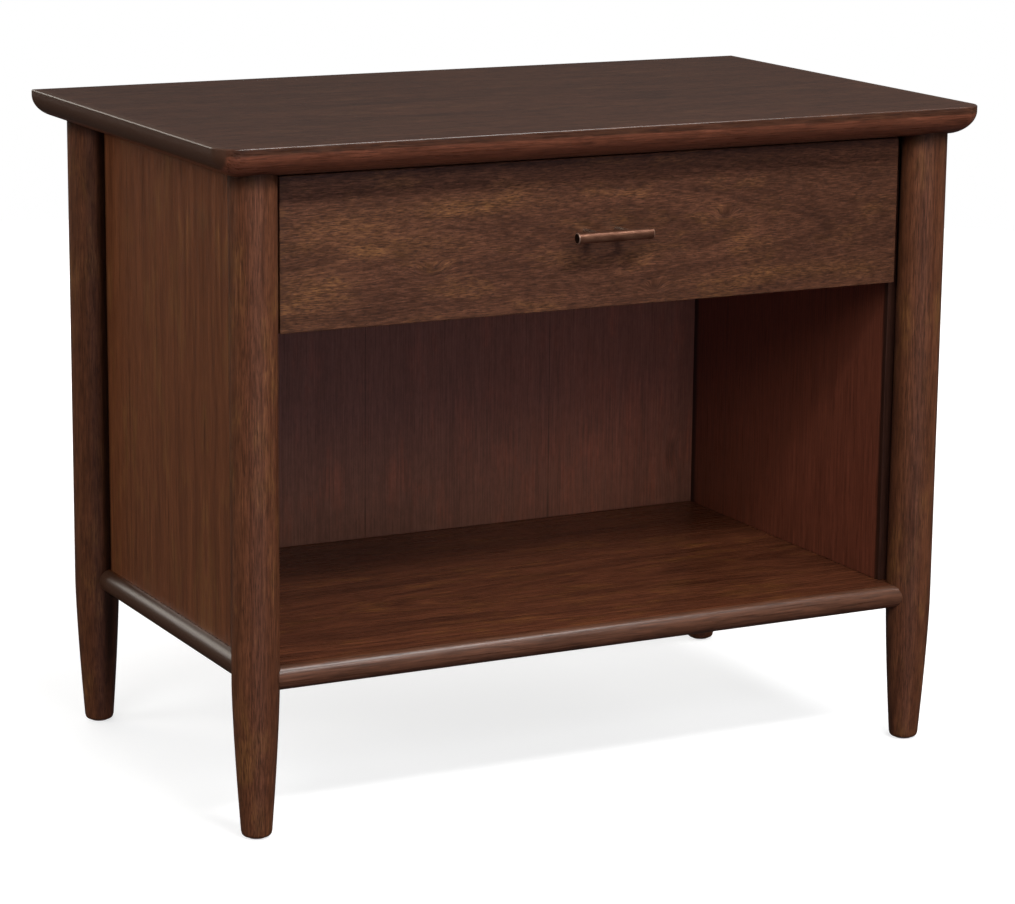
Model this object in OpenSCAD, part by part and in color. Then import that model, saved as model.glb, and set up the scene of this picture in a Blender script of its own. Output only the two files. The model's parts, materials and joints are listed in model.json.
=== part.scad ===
// Nightstand with one drawer over an open compartment.
// Four round legs run the full height and carry the side panels, the shelf and the top.
// Origin: on the floor under the centre of the top. +X right, -Y towards the front, +Z up. Millimetres.

/* [Overall] */
// Width of the top
width = 762; // [640:1:900]
// Depth of the top
depth = 457; // [440:1:520]
// Height from the floor to the top surface
height = 610; // [560:1:700]

/* [Top] */
// Thickness of the top
top_t = 28; // [24:1:34]
// Height of the plumb lip above the rounded underside
lip_h = 5; // [3:0.5:8]
// How far the rounded underside reaches in from the edge
under_w = 34; // [28:1:40]
// Plan radius of the two front corners
corner_r = 23; // [10:1:26]

/* [Legs] */
// Diameter of a leg above the taper
leg_d = 42; // [40:1:46]
// Diameter of a leg at the floor
foot_d = 26.6; // [24:0.2:32]
// Height at which the taper starts
taper_h = 140; // [110:1:145]
// Leg centre in from the side edge of the top
leg_in_x = 43.5; // [40:0.5:60]
// Leg centre in from the front and back edges of the top
leg_in_y = 36; // [34:0.5:40]

/* [Case] */
// Thickness of the side panels
panel_t = 19; // [16:1:21]
// Side panel face in from the outer side of the legs
panel_in = 26; // [24:1:27]
// Thickness of the back panel
back_t = 12; // [9:1:15]
// Section of the rails and cleats under the top: thickness
rail_t = 16; // [12:1:19]
// Section of the rails and cleats under the top: width
rail_w = 45; // [30:1:60]

/* [Shelf] */
// Height of the shelf surface
shelf_h = 154; // [148:1:200]
// Thickness of the shelf
shelf_t = 22; // [18:1:25]
// How far the shelf edge stands out beyond the side panels
shelf_out = 10.5; // [6:0.5:14]
// Shelf front edge in from the front edge of the top
shelf_in = 22; // [18:1:30]

/* [Drawer] */
// Height of the drawer front
front_h = 135.5; // [110:0.5:150]
// Thickness of the drawer front
front_t = 19; // [16:1:22]
// Drawer front face in from the front edge of the top
front_in = 39.5; // [36:0.5:44]
// Gap between the drawer front and the legs
front_gap = 5; // [4:0.5:8]
// Gap between the drawer front and the top
head_gap = 2.5; // [1.5:0.5:4]
// Height of the drawer box
box_h = 95; // [60:1:98]
// Depth of the drawer box behind the drawer front
box_l = 320; // [280:1:325]
// Thickness of the drawer box walls
box_t = 12; // [10:1:15]
// Thickness of the drawer bottom
bottom_t = 6; // [4:1:9]

/* [Slides] */
// Length of each slide member
slide_l = 300; // [250:10:310]
// Height of the slide's cabinet member
slide_h = 45; // [40:1:46]
// Thickness of a slide across all its members
slide_w = 12.7; // [12:0.1:14]
// Thickness of the sheet steel
sheet = 1.2; // [1:0.1:1.4]

/* [Handle] */
// Length of the bar
bar_l = 76; // [60:1:120]
// Diameter of the bar
bar_d = 10; // [9:0.5:14]
// Diameter of the posts
post_d = 8.5; // [6:0.5:9]
// Distance between the post centres
post_gap = 32; // [25:1:50]
// How far the bar's front stands out from the drawer front
bar_out = 28.5; // [24:0.5:34]

/* [Hidden] */

// Smoothness of round parts, and clearances
$fn = 48;
edge_fn = 64;
fine_fn = 96;
eps = 1;
glue_gap = 0.2;

// Main levels and planes
top_u = height - top_t;
leg_r = leg_d / 2;
leg_x = width / 2 - leg_in_x;
leg_y = depth / 2 - leg_in_y;
panel_x = leg_x + leg_r - panel_in;
inner_x = panel_x - panel_t;
panel_behind = 16;
back_before = 14.5;
panel_front_y = -leg_y + panel_behind;
back_face_y = leg_y - back_before;
panel_h = top_u - shelf_h;
front_y = -(depth / 2 - front_in);
front_back_y = front_y + front_t;

// Top: the rounded underside is a quarter ellipse below the lip, drawn in steps
under_steps = 14;
function under_in(i) = under_w * (1 - cos(90 * i / under_steps));
function under_drop(i) = lip_h + (top_t - lip_h) * sin(90 * i / under_steps);

// Last step of that curve inside the corner radius, and the curve's drop at the corner's centre
corner_last = max([for (i = [0:under_steps]) under_in(i) < corner_r ? i : 0]);
corner_mix = (corner_r - under_in(corner_last)) / (under_in(corner_last + 1) - under_in(corner_last));
corner_drop = under_drop(corner_last) * (1 - corner_mix) + under_drop(corner_last + 1) * corner_mix;

// Legs: radius at height z within the taper, and the rounding of the foot
foot_round = 3.5;
foot_steps = 4;
taper_steps = 12;
taper_power = 1.4;
function leg_radius(z) = leg_r - (leg_r - foot_d / 2) * pow(1 - z / taper_h, taper_power);
function foot_angle(k) = 90 * k / foot_steps;

// Glides under the feet
glide_d = 17;
glide_out = 1.5;
glide_sink = 2.5;
glide_edge = 0.8;
glide_pin_d = 4;
glide_pin_l = 14;

// Shadow step along the outer arris of the side panels, where they meet the legs
reveal = 3.5;

// Back panel: it stands between the back legs, behind the ends of the side panels
back_lap = 6;
back_half = leg_x - leg_r + back_lap;
back_screw_l = 30;
back_screw_pitch = 170;

// Shelf
shelf_back_out = 10;
shelf_r = shelf_t / 2;
shelf_x = panel_x + shelf_out;
shelf_front_y = -(depth / 2 - shelf_in);
shelf_back_y = back_face_y + back_t + shelf_back_out;
shelf_b = shelf_h - shelf_t;

// Dowels: the small ones join the panels to the legs, the large ones join the shelf to the legs
dowel_d = 6;
dowel_l = 28;
dowel_fit = 0.1;
dowel_x = panel_x - reveal - dowel_d / 2;
dowel_y = back_face_y + back_t / 2;
dowel_end_z = 60;
dowel_zs = [for (k = [0:2]) shelf_h + dowel_end_z + k * (panel_h - 2 * dowel_end_z) / 2];
back_dowel_up = 22;
back_dowel_in = 2;
back_dowel_x = leg_x - leg_r + back_dowel_in;
shelf_dowel_d = 8;
shelf_dowel_l = 32;

// Wood screws: countersunk head, shank, tip, bore, and the recess that the head sits in
head_d = 8;
head_h = 2.4;
head_inset = 0.5;
recess_d = 8.4;
shank_d = 4;
tip_d = 0.6;
screw_bore_d = 4.4;
pan_t = 2;

// Rails across the case under the top, and cleats along its sides between them
rail_gap = 3;
rail_front_y = front_back_y + rail_gap;
rail_back_y = back_face_y - rail_w;
cleat_w = 24;
cleat_gap = 1;
cleat_y = rail_front_y + rail_w + cleat_gap;
cleat_l = rail_back_y - cleat_gap - cleat_y;

// Screws up into the top: three in each rail and two in each cleat
top_screw_l = 31;
top_screw_pitch = 220;
top_pilot_l = top_screw_l - rail_t + 2 * eps;
cleat_screw_parts = [0.25, 0.75];
top_screw_spots = concat(
    [for (y = [rail_front_y, rail_back_y], k = [-1:1]) [k * top_screw_pitch, y + rail_w / 2]],
    [for (sx = [-1, 1], part = cleat_screw_parts) [sx * (inner_x - cleat_w / 2), cleat_y + part * cleat_l]]
);

// Screws up through the shelf: three into each side panel and three into the back panel
shelf_screw_l = 50;
side_screw_pitch = 110;
back_foot_pitch = 200;
shelf_screw_spots = concat(
    [for (sx = [-1, 1], k = [-1:1]) [sx * (panel_x - panel_t / 2), k * side_screw_pitch]],
    [for (k = [-1:1]) [k * back_foot_pitch, dowel_y]]
);

// Drawer
front_side_gap = 2;
front_x = min(leg_x - leg_r - front_gap, inner_x - front_side_gap);
front_top = top_u - head_gap;
front_b = front_top - front_h;
box_up = 12;
box_b = front_b + box_up;
box_x = inner_x - slide_w;
box_back_room = 4;
box_back_y = min(front_back_y + box_l, back_face_y - box_back_room);
groove_up = 10;
groove_in = 6;
bottom_x = box_x - box_t + groove_in;
bottom_y = front_back_y + box_t - groove_in;
bottom_z = box_b + groove_up;
box_screw_x = 230;
box_screw_l = 24;
box_screw_parts = [0.3, 0.75];
box_screw_spots = [for (sx = [-1, 1], part = box_screw_parts) [sx * box_screw_x, box_b + part * box_h]];

// Soft stops between the drawer front and the front rail
bumper_d = 9;
bumper_x = 270;
bumper_play = 0.2;
bumper_drop = 1;

// Slides: heights of the members, and their flange reach measured inwards from the panel face
slide_up = 62;
slide_z = front_b + slide_up;
slide_back = 4;
slide_y = front_back_y + slide_back;
ball_d = 2.4;
ball_room = 2.8;
mid_h = slide_h - 2 * sheet - 2 * ball_room;
in_h = mid_h - 2 * sheet - 2 * ball_room;
mid_u = 2.9;
mid_short = 1;
cab_deep = 10;
mid_deep = 11.2;
in_u = 5.2;

// Screws of the slides
slide_screw_d = 3.5;
slide_hole_d = 3.8;
slide_screw_end = 30;
slide_head_d = 6;
slide_head_t = 0.6;
slide_case_screw_l = 14;
slide_box_screw_l = 11;
slide_screw_ys = [for (k = [0:2]) slide_y + slide_screw_end + k * (slide_l - 2 * slide_screw_end) / 2];

// Ball cages: the outer one runs in the cabinet member, the inner one in the middle member
cage_t = 0.8;
cage_web_t = 0.5;
cage_gap = 0.25;
cage_l = 120;
ball_hole_d = 2.8;
ball_count = 7;
ball_end = 9;
outer_cage_u = sheet + slide_head_t + cage_gap;
inner_cage_u = mid_u + sheet + cage_gap;
outer_cage_y = slide_y + 40;
inner_cage_y = slide_y + 90;

// Handle
handle_z = front_b + front_h / 2;
bar_y = front_y - bar_out + bar_d / 2;
tap_l = 12;
tap_room = 2;
tenon_d = 5;
tenon_bite = 9;

// ---------- helpers ----------

// Mirrored to the left side when side is -1
module on_side(side) {
    if (side < 0) mirror([1, 0, 0]) children();
    else children();
}

module cyl_y(d, l) { rotate([-90, 0, 0]) cylinder(d = d, h = l); }
module cyl_x(d, l) { rotate([0, 90, 0]) cylinder(d = d, h = l); }

// The four leg axes
module at_legs() {
    for (sx = [-1, 1], sy = [-1, 1]) translate([sx * leg_x, sy * leg_y, 0]) children();
}

// Space that the four legs take, with a gap around them
module leg_space(gap) {
    at_legs() translate([0, 0, shelf_b - eps]) cylinder(r = leg_r + gap, h = height, $fn = fine_fn);
}

// Countersunk wood screw, head down at the origin, pointing up
module wood_screw(l) {
    cylinder(d1 = head_d, d2 = shank_d, h = head_h);
    cylinder(d = shank_d, h = l - shank_d);
    translate([0, 0, l - shank_d]) cylinder(d1 = shank_d, d2 = tip_d, h = shank_d);
}

// ---------- top ----------

// Section of the top across an edge on both sides (x from the middle, y is height)
module top_section(half, both) {
    far = both ? [for (i = [under_steps:-1:0]) [-(half - under_in(i)), height - under_drop(i)]]
               : [[-half, top_u]];
    polygon(concat(
        [[-half, height], [half, height]],
        [for (i = [0:under_steps]) [half - under_in(i), height - under_drop(i)]],
        far
    ));
}

// One front corner turned about its own centre
module corner_turn() {
    rotate_extrude($fn = edge_fn) polygon(concat(
        [[0, height + 2 * eps], [corner_r, height + 2 * eps]],
        [for (i = [0:corner_last]) [corner_r - under_in(i), height - under_drop(i)]],
        [[0, height - corner_drop]]
    ));
}

module corner_cut() {
    difference() {
        translate([0, -corner_r - eps, top_u - eps])
            cube([corner_r + eps, corner_r + eps, top_t + 2 * eps]);
        corner_turn();
    }
}

module top_body() {
    difference() {
        intersection() {
            rotate([90, 0, 0]) linear_extrude(depth, center = true) top_section(width / 2, true);
            rotate([90, 0, -90]) linear_extrude(width, center = true) top_section(depth / 2, false);
        }
        for (side = [-1, 1]) on_side(side)
            translate([width / 2 - corner_r, -depth / 2 + corner_r, 0]) corner_cut();
    }
}

module top() {
    color("saddlebrown") difference() {
        top_body();
        for (p = top_screw_spots) translate([p[0], p[1], top_u - eps])
            cylinder(d = screw_bore_d, h = top_pilot_l + eps);
    }
}

// ---------- legs ----------

module leg_turning() {
    rotate_extrude($fn = fine_fn) polygon(concat(
        [[0, glide_out]],
        [for (k = [0:foot_steps]) [leg_radius(glide_out) - foot_round * (1 - sin(foot_angle(k))),
                                   glide_out + foot_round * (1 - cos(foot_angle(k)))]],
        [for (k = [1:taper_steps]) let (z = taper_h * k / taper_steps) [leg_radius(z), z]],
        [[leg_r, height - lip_h], [0, height - lip_h]]
    ));
}

// Diagonal dowel between a leg and the shelf, pointing at the middle of the shelf
module shelf_dowel(sx, sy, d, l) {
    translate([sx * leg_x, sy * leg_y, shelf_h - shelf_r]) rotate([0, 0, atan2(-sy, -sx)])
        translate([leg_r - l / 2, 0, 0]) cyl_x(d, l);
}

module leg(sx, sy) {
    color("#5a3826") difference() {
        translate([sx * leg_x, sy * leg_y, 0]) leg_turning();
        top_body();
        translate([sx * leg_x, sy * leg_y, glide_out - eps]) {
            cylinder(d = glide_d + dowel_fit, h = glide_sink + eps);
            cylinder(d = glide_pin_d + dowel_fit, h = glide_sink + glide_pin_l + 2 * eps);
        }
        panel_dowel_holes(sx, sy);
        if (sy > 0) back_dowel_holes(sx);
        shelf_dowel(sx, sy, shelf_dowel_d + dowel_fit, shelf_dowel_l + dowel_fit);
    }
}

module glide(sx, sy) {
    color("gainsboro") translate([sx * leg_x, sy * leg_y, 0]) {
        cylinder(d1 = glide_d - 2 * glide_edge, d2 = glide_d, h = glide_edge);
        translate([0, 0, glide_edge]) cylinder(d = glide_d, h = glide_out + glide_sink - glide_edge);
        cylinder(d = glide_pin_d, h = glide_out + glide_sink + glide_pin_l);
    }
}

// ---------- dowels ----------

// Ends of the side panels that the dowels cross, front and back
function panel_end(sy) = sy < 0 ? panel_front_y : back_face_y;

module panel_dowel(sx, sy, z, d, l) {
    translate([sx * dowel_x, panel_end(sy) - l / 2, z]) cyl_y(d, l);
}

module panel_dowel_holes(sx, sy) {
    for (z = dowel_zs) panel_dowel(sx, sy, z, dowel_d + dowel_fit, dowel_l + 2 * dowel_fit);
}

// Dowel between an end of the back panel and a back leg, above the side panel's own dowel
module back_dowel(sx, z, d, l) {
    translate([sx * back_dowel_x - l / 2, dowel_y, z + back_dowel_up]) cyl_x(d, l);
}

module back_dowel_holes(sx) {
    for (z = dowel_zs) back_dowel(sx, z, dowel_d + dowel_fit, dowel_l + 2 * dowel_fit);
}

module case_dowels() {
    color("burlywood") for (sx = [-1, 1], z = dowel_zs) {
        for (sy = [-1, 1]) panel_dowel(sx, sy, z, dowel_d, dowel_l);
        back_dowel(sx, z, dowel_d, dowel_l);
    }
}

module shelf_dowels() {
    color("burlywood") for (sx = [-1, 1], sy = [-1, 1])
        shelf_dowel(sx, sy, shelf_dowel_d, shelf_dowel_l);
}

// ---------- case panels ----------

module shelf_screw_bores() {
    for (p = shelf_screw_spots) translate([p[0], p[1], shelf_b - eps]) {
        cylinder(d = screw_bore_d, h = shelf_screw_l + 2 * eps);
        cylinder(d = recess_d, h = head_h + 2 * eps);
    }
}

module side_panel(side) {
    color("#4b2d1c") difference() {
        on_side(side) translate([inner_x, panel_front_y, shelf_h])
            cube([panel_t, back_face_y - panel_front_y, panel_h]);
        leg_space(glue_gap);
        intersection() {
            leg_space(reveal);
            on_side(side) translate([panel_x - reveal, -depth / 2, 0]) cube([reveal + eps, depth, height]);
        }
        for (sy = [-1, 1]) panel_dowel_holes(side, sy);
        shelf_screw_bores();
        for (y = slide_screw_ys) on_side(side) translate([inner_x - eps, y, slide_z])
            cyl_x(slide_screw_d + dowel_fit, slide_case_screw_l + eps);
    }
}

module back_screw_places() {
    for (k = [-1:1]) translate([k * back_screw_pitch, back_face_y + back_t, top_u - rail_t / 2])
        rotate([90, 0, 0]) children();
}

module back_panel() {
    color("#4a2c22") difference() {
        translate([-back_half, back_face_y, shelf_h]) cube([2 * back_half, back_t, panel_h]);
        leg_space(glue_gap);
        for (side = [-1, 1]) back_dowel_holes(side);
        shelf_screw_bores();
        back_screw_places() translate([0, 0, -eps]) {
            cylinder(d = screw_bore_d, h = back_t + 2 * eps);
            cylinder(d = recess_d, h = head_h + 2 * eps);
        }
    }
}

// Screws through the back panel into the back rail
module back_screws() {
    color("dimgray") back_screw_places() translate([0, 0, head_inset]) wood_screw(back_screw_l);
}

// Section of the shelf across its width, with a half-round edge on both sides
module shelf_section() {
    translate([-shelf_x + shelf_r, -shelf_t]) square([2 * (shelf_x - shelf_r), shelf_t]);
    for (side = [-1, 1]) translate([side * (shelf_x - shelf_r), -shelf_r])
        circle(r = shelf_r, $fn = edge_fn);
}

// Section across its depth, with a half-round edge at the front only
module shelf_depth_section() {
    translate([shelf_front_y + shelf_r, -shelf_t]) square([shelf_back_y - shelf_front_y - shelf_r, shelf_t]);
    translate([shelf_front_y + shelf_r, -shelf_r]) circle(r = shelf_r, $fn = edge_fn);
}

module shelf() {
    color("#55301c") difference() {
        translate([0, 0, shelf_h]) intersection() {
            rotate([90, 0, 0]) linear_extrude(depth, center = true) shelf_section();
            rotate([90, 0, 90]) linear_extrude(width, center = true) shelf_depth_section();
        }
        leg_space(glue_gap);
        for (sx = [-1, 1], sy = [-1, 1])
            shelf_dowel(sx, sy, shelf_dowel_d + dowel_fit, shelf_dowel_l + dowel_fit);
        shelf_screw_bores();
    }
}

module shelf_screws() {
    color("dimgray") for (p = shelf_screw_spots)
        translate([p[0], p[1], shelf_b + head_inset]) wood_screw(shelf_screw_l);
}

// ---------- rails and cleats under the top ----------

module rail(y) {
    color("tan") difference() {
        translate([-inner_x + glue_gap, y, top_u - rail_t])
            cube([2 * (inner_x - glue_gap), rail_w, rail_t]);
        top_screw_bores();
        back_screw_places() cylinder(d = screw_bore_d, h = back_screw_l + eps);
    }
}

module cleat(side) {
    color("tan") difference() {
        on_side(side) translate([inner_x - cleat_w, cleat_y, top_u - rail_t])
            cube([cleat_w - glue_gap, cleat_l, rail_t]);
        top_screw_bores();
    }
}

module top_screw_bores() {
    for (p = top_screw_spots) translate([p[0], p[1], top_u - rail_t - eps]) {
        cylinder(d = screw_bore_d, h = rail_t + 2 * eps);
        cylinder(d = recess_d, h = head_h + 2 * eps);
    }
}

module top_screws() {
    color("dimgray") for (p = top_screw_spots)
        translate([p[0], p[1], top_u - rail_t + head_inset]) wood_screw(top_screw_l);
}

// ---------- slides (drawn on the right side, measured inwards from the panel) ----------

// Channel of sheet steel: web at u_web, flanges from u_from to u_to
module channel(u_web, u_from, u_to, h, y0, l) {
    translate([inner_x - u_web - sheet, y0, slide_z - h / 2]) cube([sheet, l, h]);
    for (s = [-1, 1]) translate([inner_x - u_to, y0, slide_z + s * (h - sheet) / 2 - sheet / 2])
        cube([u_to - u_from, l, sheet]);
}

module slide_cabinet(side) {
    color("silver") on_side(side) difference() {
        channel(0, 0, cab_deep, slide_h, slide_y, slide_l);
        for (y = slide_screw_ys) translate([inner_x - sheet - eps, y, slide_z])
            cyl_x(slide_hole_d, sheet + 2 * eps);
    }
}

module slide_middle(side) {
    color("lightgray") on_side(side)
        channel(mid_u, mid_u, mid_deep, mid_h, slide_y + mid_short, slide_l - 2 * mid_short);
}

module slide_drawer(side) {
    color("silver") on_side(side) difference() {
        channel(slide_w - sheet, in_u, slide_w, in_h, slide_y, slide_l);
        for (y = slide_screw_ys) translate([inner_x - slide_w - eps, y, slide_z])
            cyl_x(slide_hole_d, sheet + 2 * eps);
    }
}

// Ball cage: two strips joined by a bridge, each holding a row of balls
module ball_cage(side, h, u_from, u_to, y0) {
    row = h / 2 - sheet - ball_room / 2;
    ball_u = (u_from + u_to) / 2;
    color("khaki") on_side(side) {
        difference() {
            union() {
                for (s = [-1, 1]) translate([inner_x - u_to, y0, slide_z + s * row - cage_t / 2])
                    cube([u_to - u_from, cage_l, cage_t]);
                translate([inner_x - u_from - cage_web_t, y0, slide_z - row])
                    cube([cage_web_t, cage_l, 2 * row]);
            }
            ball_places(row, ball_u, y0) translate([0, 0, -cage_t])
                cylinder(d = ball_hole_d, h = 2 * cage_t);
        }
        ball_places(row, ball_u, y0) sphere(d = ball_d);
    }
}

module ball_places(row, ball_u, y0) {
    for (s = [-1, 1], k = [0:ball_count - 1])
        translate([inner_x - ball_u, y0 + ball_end + k * (cage_l - 2 * ball_end) / (ball_count - 1),
                   slide_z + s * row]) children();
}

module ball_cage_outer(side) { ball_cage(side, slide_h, outer_cage_u, cab_deep - cage_t, outer_cage_y); }
module ball_cage_inner(side) { ball_cage(side, mid_h, inner_cage_u, mid_deep - cage_t, inner_cage_y); }

// Pan-head screw, head against the plane at the origin, pointing along +Z
module pan_screw(d, l, head, head_t) {
    cylinder(d = d, h = l);
    translate([0, 0, -head_t]) cylinder(d = head, h = head_t);
}

module slide_case_screws() {
    color("dimgray") for (side = [-1, 1], y = slide_screw_ys) on_side(side)
        translate([inner_x - sheet, y, slide_z]) rotate([0, 90, 0])
            pan_screw(slide_screw_d, slide_case_screw_l, slide_head_d, slide_head_t);
}

module slide_drawer_screws() {
    color("dimgray") for (side = [-1, 1], y = slide_screw_ys) on_side(side)
        translate([box_x + sheet, y, slide_z]) rotate([0, -90, 0])
            pan_screw(slide_screw_d, slide_box_screw_l, slide_head_d, slide_head_t);
}

// ---------- drawer ----------

module drawer_front() {
    color("#5b3c26") difference() {
        translate([-front_x, front_y, front_b]) cube([2 * front_x, front_t, front_h]);
        for (sx = [-1, 1]) translate([sx * post_gap / 2, front_y - eps, handle_z])
            cyl_y(screw_bore_d, front_t + 2 * eps);
        for (p = box_screw_spots) translate([p[0], front_back_y + box_t - box_screw_l - dowel_fit, p[1]])
            cyl_y(shank_d + dowel_fit, box_screw_l);
    }
}

module box_front() {
    color("wheat") difference() {
        translate([-box_x + box_t, front_back_y, box_b]) cube([2 * (box_x - box_t), box_t, box_h]);
        for (sx = [-1, 1]) translate([sx * post_gap / 2, front_back_y - eps, handle_z])
            cyl_y(screw_bore_d, box_t + 2 * eps);
        for (p = box_screw_spots) translate([p[0], front_back_y - eps, p[1]])
            cyl_y(shank_d + dowel_fit, box_t + 2 * eps);
        bottom_space();
    }
}

module box_side(side) {
    color("wheat") difference() {
        on_side(side) translate([box_x - box_t, front_back_y, box_b])
            cube([box_t, box_back_y - front_back_y, box_h]);
        bottom_space();
        for (y = slide_screw_ys) on_side(side) translate([box_x - box_t - eps, y, slide_z])
            cyl_x(slide_screw_d + dowel_fit, box_t + 2 * eps);
    }
}

module box_back() {
    color("wheat") translate([-box_x + box_t, box_back_y - box_t, bottom_z + bottom_t])
        cube([2 * (box_x - box_t), box_t, box_h - groove_up - bottom_t]);
}

// Groove for the drawer bottom, open at the back
module bottom_space() {
    translate([-bottom_x, bottom_y, bottom_z]) cube([2 * bottom_x, box_l + eps, bottom_t]);
}

module box_bottom() {
    color("beige") translate([-bottom_x + glue_gap, bottom_y + glue_gap, bottom_z])
        cube([2 * (bottom_x - glue_gap), box_back_y - bottom_y - glue_gap, bottom_t]);
}

module box_screws() {
    color("dimgray") for (p = box_screw_spots) translate([p[0], front_back_y + box_t, p[1]])
        rotate([90, 0, 0]) pan_screw(shank_d, box_screw_l, head_d, pan_t);
}

module bumpers() {
    color("black") for (sx = [-1, 1])
        translate([sx * bumper_x, front_back_y, top_u - rail_t / 2 - bumper_drop])
            cyl_y(bumper_d, rail_gap - bumper_play);
}

// ---------- handle ----------

module handle_bar() {
    color("#6d4c3a") difference() {
        translate([-bar_l / 2, bar_y, handle_z]) cyl_x(bar_d, bar_l);
        for (sx = [-1, 1]) translate([sx * post_gap / 2, bar_y + bar_d / 2 - tenon_bite, handle_z])
            cyl_y(tenon_d + dowel_fit, bar_d);
    }
}

// Posts: scribed to the bar, with a tenon into it, and tapped from the back
module handle_posts() {
    post_l = front_y - bar_y;
    color("#5f4334") for (sx = [-1, 1]) translate([sx * post_gap / 2, bar_y, handle_z]) difference() {
        union() {
            difference() {
                cyl_y(post_d, post_l);
                translate([-post_d, 0, 0]) cyl_x(bar_d + dowel_fit, 2 * post_d);
            }
            translate([0, bar_d / 2 - tenon_bite + dowel_fit, 0]) cyl_y(tenon_d, post_l - eps);
        }
        translate([0, post_l - tap_l, 0]) cyl_y(shank_d + dowel_fit, tap_l + eps);
    }
}

module handle_screws() {
    handle_screw_l = front_t + box_t + tap_l - tap_room;
    color("silver") for (sx = [-1, 1]) translate([sx * post_gap / 2, front_back_y + box_t, handle_z])
        rotate([90, 0, 0]) pan_screw(shank_d, handle_screw_l, head_d, pan_t);
}

// ---------- assembly ----------

top();
leg(-1, -1);  // leg_front_left
leg(1, -1);  // leg_front_right
leg(-1, 1);  // leg_back_left
leg(1, 1);  // leg_back_right
side_panel(-1);  // side_panel_left
side_panel(1);  // side_panel_right
back_panel();
shelf();
rail(rail_front_y);  // front_rail
rail(rail_back_y);  // back_rail
cleat(-1);  // cleat_left
cleat(1);  // cleat_right
glide(-1, -1);  // glide_front_left
glide(1, -1);  // glide_front_right
glide(-1, 1);  // glide_back_left
glide(1, 1);  // glide_back_right
case_dowels();
shelf_dowels();
top_screws();
shelf_screws();
back_screws();
slide_cabinet(-1);  // slide_cabinet_left
slide_cabinet(1);  // slide_cabinet_right
slide_middle(-1);  // slide_middle_left
slide_middle(1);  // slide_middle_right
slide_drawer(-1);  // slide_drawer_left
slide_drawer(1);  // slide_drawer_right
ball_cage_outer(-1);  // ball_cage_outer_left
ball_cage_outer(1);  // ball_cage_outer_right
ball_cage_inner(-1);  // ball_cage_inner_left
ball_cage_inner(1);  // ball_cage_inner_right
slide_case_screws();
slide_drawer_screws();
drawer_front();
box_front();
box_side(-1);  // box_side_left
box_side(1);  // box_side_right
box_back();
box_bottom();
box_screws();
handle_bar();
handle_posts();
handle_screws();
bumpers();
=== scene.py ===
"""Looks of the nightstand: eased and rounded wooden pieces, lacquered walnut, bronze handle, studio."""
import json
import math

import bmesh
import bpy
from mathutils import Matrix, Vector


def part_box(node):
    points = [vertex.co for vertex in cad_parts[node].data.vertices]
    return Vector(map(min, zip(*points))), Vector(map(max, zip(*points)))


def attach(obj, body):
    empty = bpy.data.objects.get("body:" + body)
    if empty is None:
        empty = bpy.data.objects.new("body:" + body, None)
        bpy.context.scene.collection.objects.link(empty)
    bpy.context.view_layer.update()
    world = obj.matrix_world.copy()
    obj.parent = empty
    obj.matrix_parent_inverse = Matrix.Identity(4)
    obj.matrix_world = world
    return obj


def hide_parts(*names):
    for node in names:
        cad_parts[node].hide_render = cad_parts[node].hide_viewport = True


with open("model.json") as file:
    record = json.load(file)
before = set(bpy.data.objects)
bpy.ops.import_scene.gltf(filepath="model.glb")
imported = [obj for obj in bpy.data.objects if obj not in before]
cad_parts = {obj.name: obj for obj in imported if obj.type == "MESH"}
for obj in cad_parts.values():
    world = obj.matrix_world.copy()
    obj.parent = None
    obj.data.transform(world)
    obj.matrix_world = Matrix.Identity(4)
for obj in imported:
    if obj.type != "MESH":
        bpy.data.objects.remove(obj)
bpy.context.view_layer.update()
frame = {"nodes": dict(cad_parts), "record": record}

MM = 0.001

# ---------- sizes, in metres, from the CAD boxes ----------

top_low, top_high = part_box("top")
HALF_W, HALF_D, HEIGHT = top_high
TOP_UNDER = top_low.z

leg_low, leg_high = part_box("leg_front_right")
LEG_R = (leg_high.x - leg_low.x) / 2
LEG_X = (leg_high.x + leg_low.x) / 2
LEG_Y = -(leg_high.y + leg_low.y) / 2
LEG_FOOT = leg_low.z

panel_low, panel_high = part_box("side_panel_right")
back_low, back_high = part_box("back_panel")
shelf_low, shelf_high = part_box("shelf")
front_low, front_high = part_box("drawer_front")
bar_low, bar_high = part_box("handle_bar")
posts_low, posts_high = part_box("handle_posts")
BAR_R = (bar_high.z - bar_low.z) / 2
BAR_Y = (bar_high.y + bar_low.y) / 2
BAR_Z = (bar_high.z + bar_low.z) / 2
BAR_END = bar_high.x

# Shapes that a box doesn't tell
LIP = 5 * MM                  # plumb lip above the rounded underside of the top
UNDER_IN = 34 * MM            # reach of the rounded underside in from the edge
CORNER_R = 23 * MM            # plan radius of the front corners of the top
MITRE_R = 1.5 * MM            # the least that radius shrinks to on the way down
TAPER_H = 140 * MM            # height at which the legs start to taper
TAPER_POWER = 1.4
FOOT_R = 13.3 * MM
FOOT_ROUND = 3.5 * MM
COPE = LEG_R + 0.2 * MM       # boards are cut to this radius round the legs
REVEAL = 3.5 * MM             # shadow step of the side panels beside the legs
POST_R = 4.25 * MM
CLEAR = 0.1 * MM              # gap that keeps touching faces apart
SCREW_HEAD_R = 4.0 * MM
RECESS_R = 4.2 * MM
RECESS_DEEP = 2.4 * MM
SHELF_SCREW_PITCH = 200 * MM

# Eased edges
EASE_TOP = 1.5 * MM
EASE_PANEL = 0.5 * MM
EASE_FRONT = 0.9 * MM
EASE_NOTCH = 0.6 * MM
EASE_BAR = 0.8 * MM
SHARP_ANGLE = math.radians(38)

# Points round a circle
LEG_AROUND = 96
BAR_AROUND = 64
POST_AROUND = 48
RECESS_AROUND = 48

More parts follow.
